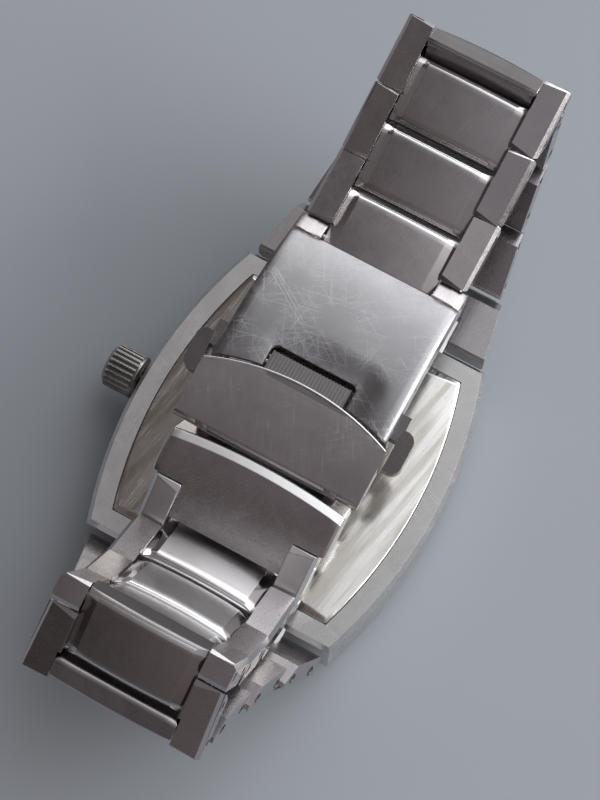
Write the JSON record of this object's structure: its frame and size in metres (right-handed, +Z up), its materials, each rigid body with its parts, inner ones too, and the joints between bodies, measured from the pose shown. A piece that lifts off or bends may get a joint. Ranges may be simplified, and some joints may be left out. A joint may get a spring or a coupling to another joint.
{
  "type": "wristwatch",
  "caption": "Steel wristwatch with a barrel-shaped case and a closed link bracelet, lying dial down, with a fold-over push-button clasp and safety flap over the case back.",
  "frame": {"origin": "centre of the crystal's outer face, on the table the watch lies on", "axes": "+Z up, out of the case back; +Y to twelve o'clock; crown on the -X side"},
  "size_m": [0.0418, 0.0848, 0.0341],
  "materials": {
    "brushed_steel": "brushed and scratched",
    "polished_steel": "polished",
    "link_centre": "satin, worn at the edges",
    "link_side": "satin",
    "gasket": "matte",
    "gasket_white": "matte",
    "crystal": "clear",
    "flange": "gloss",
    "dial": "satin",
    "marker": "polished",
    "holder": "matte",
    "plate": "satin",
    "bridge": "satin",
    "cell": "satin",
    "coil": "wound",
    "hand": "polished"
  },
  "bodies": {
    "case": {"case_middle": "brushed_steel", "case_back": "polished_steel", "back_gasket": "gasket", "crystal": "crystal", "crystal_gasket": "gasket_white", "flange_ring": "flange", "dial": "dial", "hour_markers": "marker", "movement_ring": "holder", "main_plate": "plate", "train_bridge": "bridge", "battery": "cell", "drive_coil": "coil", "crown_tube": "brushed_steel", "crown_gasket": "gasket", "case_bars": "brushed_steel"},
    "setting_lever": {"setting_lever": "brushed_steel"},
    "crown": {"crown": "brushed_steel", "crown_stem": "brushed_steel"},
    "hour_hand": {"hour_hand": "hand"},
    "minute_hand": {"minute_hand": "hand"},
    "second_hand": {"second_hand": "hand"},
    "twelve_link_1": {"twelve_link_1_centre": "link_centre", "twelve_link_1_sides": "link_side"},
    "twelve_link_2": {"twelve_link_2_centre": "link_centre", "twelve_link_2_sides": "link_side"},
    "twelve_link_3": {"twelve_link_3_centre": "link_centre", "twelve_link_3_sides": "link_side"},
    "twelve_link_4": {"twelve_link_4_centre": "link_centre", "twelve_link_4_sides": "link_side"},
    "twelve_link_5": {"twelve_link_5_centre": "link_centre", "twelve_link_5_sides": "link_side"},
    "twelve_link_6": {"twelve_link_6_centre": "link_centre", "twelve_link_6_sides": "link_side"},
    "twelve_link_7": {"twelve_link_7_centre": "link_centre", "twelve_link_7_sides": "link_side"},
    "six_link_1": {"six_link_1_centre": "link_centre", "six_link_1_sides": "link_side"},
    "six_link_2": {"six_link_2_centre": "link_centre", "six_link_2_sides": "link_side"},
    "six_link_3": {"six_link_3_centre": "link_centre", "six_link_3_sides": "link_side"},
    "six_link_4": {"six_link_4_centre": "link_centre", "six_link_4_sides": "link_side"},
    "six_link_5": {"six_link_5_centre": "link_centre", "six_link_5_sides": "link_side"},
    "six_link_6": {"six_link_6_centre": "link_centre", "six_link_6_sides": "link_side"},
    "six_link_7": {"six_link_7_centre": "link_centre", "six_link_7_sides": "link_side"},
    "cover": {"clasp_cover": "brushed_steel", "clasp_pins": "brushed_steel", "button_spring": "brushed_steel"},
    "blade_one": {"blade_one": "brushed_steel"},
    "blade_two": {"blade_two": "brushed_steel"},
    "left_button": {"left_button": "brushed_steel"},
    "right_button": {"right_button": "brushed_steel"},
    "safety_flap": {"safety_flap": "brushed_steel"},
    "end_piece": {"end_piece": "brushed_steel", "end_ears": "brushed_steel"}
  },
  "joints": [
    {"name": "crown_pull", "type": "slide", "parent": "case", "child": "setting_lever", "axis": [-1, 0, 0], "range_m": [0, 0.0008]},
    {"name": "crown_turn", "type": "hinge", "parent": "setting_lever", "child": "crown", "pos_m": [-0.0185, 0, 0.0048], "axis": [1, 0, 0], "continuous": true},
    {"name": "second_turn", "type": "hinge", "parent": "case", "child": "second_hand", "pos_m": [0, 0, 0.003], "axis": [0, 0, 1], "continuous": true},
    {"name": "minute_turn", "type": "hinge", "parent": "case", "child": "minute_hand", "pos_m": [0, 0, 0.003], "axis": [0, 0, 1], "continuous": true},
    {"name": "hour_turn", "type": "hinge", "parent": "case", "child": "hour_hand", "pos_m": [0, 0, 0.003], "axis": [0, 0, 1], "continuous": true},
    {"name": "twelve_pivot_1", "type": "hinge", "parent": "case", "child": "twelve_link_1", "pos_m": [0, 0.021, 0.0073], "axis": [-1, 0, 0], "range_deg": [0, 12]},
    {"name": "twelve_pivot_2", "type": "hinge", "parent": "twelve_link_1", "child": "twelve_link_2", "pos_m": [0, 0.02934, 0.00759], "axis": [-1, 0, 0], "range_deg": [0, 15]},
    {"name": "twelve_pivot_3", "type": "hinge", "parent": "twelve_link_2", "child": "twelve_link_3", "pos_m": [0, 0.03685, 0.01125], "axis": [-1, 0, 0], "range_deg": [0, 15]},
    {"name": "twelve_pivot_4", "type": "hinge", "parent": "twelve_link_3", "child": "twelve_link_4", "pos_m": [0, 0.04222, 0.01765], "axis": [-1, 0, 0], "range_deg": [0, 25]},
    {"name": "twelve_pivot_5", "type": "hinge", "parent": "twelve_link_4", "child": "twelve_link_5", "pos_m": [0, 0.04431, 0.02573], "axis": [-1, 0, 0], "range_deg": [0, 60]},
    {"name": "twelve_pivot_6", "type": "hinge", "parent": "twelve_link_5", "child": "twelve_link_6", "pos_m": [0, 0.03643, 0.02297], "axis": [-1, 0, 0], "range_deg": [0, 12]},
    {"name": "twelve_pivot_7", "type": "hinge", "parent": "twelve_link_6", "child": "twelve_link_7", "pos_m": [0, 0.02858, 0.02012], "axis": [-1, 0, 0], "range_deg": [0, 20]},
    {"name": "six_pivot_1", "type": "hinge", "parent": "case", "child": "six_link_1", "pos_m": [0, -0.021, 0.0073], "axis": [1, 0, 0], "range_deg": [0, 20]},
    {"name": "six_pivot_2", "type": "hinge", "parent": "six_link_1", "child": "six_link_2", "pos_m": [0, -0.02542, 0.01438], "axis": [1, 0, 0], "range_deg": [0, 15]},
    {"name": "six_pivot_3", "type": "hinge", "parent": "six_link_2", "child": "six_link_3", "pos_m": [0, -0.03079, 0.02078], "axis": [1, 0, 0], "range_deg": [0, 20]},
    {"name": "six_pivot_4", "type": "hinge", "parent": "six_link_3", "child": "six_link_4", "pos_m": [0, -0.0367, 0.02668], "axis": [1, 0, 0], "range_deg": [0, 40]},
    {"name": "six_pivot_5", "type": "hinge", "parent": "six_link_4", "child": "six_link_5", "pos_m": [0, -0.03031, 0.03206], "axis": [1, 0, 0], "range_deg": [0, 60]},
    {"name": "six_pivot_6", "type": "hinge", "parent": "six_link_5", "child": "six_link_6", "pos_m": [0, -0.02739, 0.02424], "axis": [1, 0, 0], "range_deg": [0, 12]},
    {"name": "six_pivot_7", "type": "hinge", "parent": "six_link_6", "child": "six_link_7", "pos_m": [0, -0.02254, 0.01744], "axis": [1, 0, 0], "range_deg": [0, 12]},
    {"name": "cover_lift", "type": "hinge", "parent": "twelve_link_7", "child": "cover", "pos_m": [0, 0.02037, 0.01858], "axis": [-1, 0, 0], "range_deg": [0, 50]},
    {"name": "blade_one_fold", "type": "hinge", "parent": "cover", "child": "blade_one", "pos_m": [0, 0.00861, 0.0209], "axis": [-1, 0, 0], "range_deg": [0, 32]},
    {"name": "blade_two_fold", "type": "hinge", "parent": "blade_one", "child": "blade_two", "pos_m": [0, 0.01612, 0.01906], "axis": [1, 0, 0], "range_deg": [0, 50]},
    {"name": "left_press", "type": "slide", "parent": "cover", "child": "left_button", "axis": [1, 0, 0], "range_m": [0, 0.0006], "stiffness_N_per_m": 400},
    {"name": "right_press", "type": "slide", "parent": "cover", "child": "right_button", "axis": [-1, 0, 0], "range_m": [0, 0.0006], "stiffness_N_per_m": 400},
    {"name": "end_pivot", "type": "hinge", "parent": "six_link_7", "child": "end_piece", "pos_m": [0, -0.01579, 0.01253], "axis": [1, 0, 0], "range_deg": [0, 10]},
    {"name": "flap_lift", "type": "hinge", "parent": "end_piece", "child": "safety_flap", "pos_m": [0, -0.00517, 0.01967], "axis": [1, 0, 0], "range_deg": [0, 115]}
  ],
  "couplings": [
    {"joint": "minute_turn", "follows": "second_turn", "ratio": 0.016667},
    {"joint": "hour_turn", "follows": "second_turn", "ratio": 0.0013889},
    {"joint": "blade_one_fold", "follows": "cover_lift", "ratio": 0.5},
    {"joint": "blade_two_fold", "follows": "cover_lift", "ratio": 0.8}
  ]
}
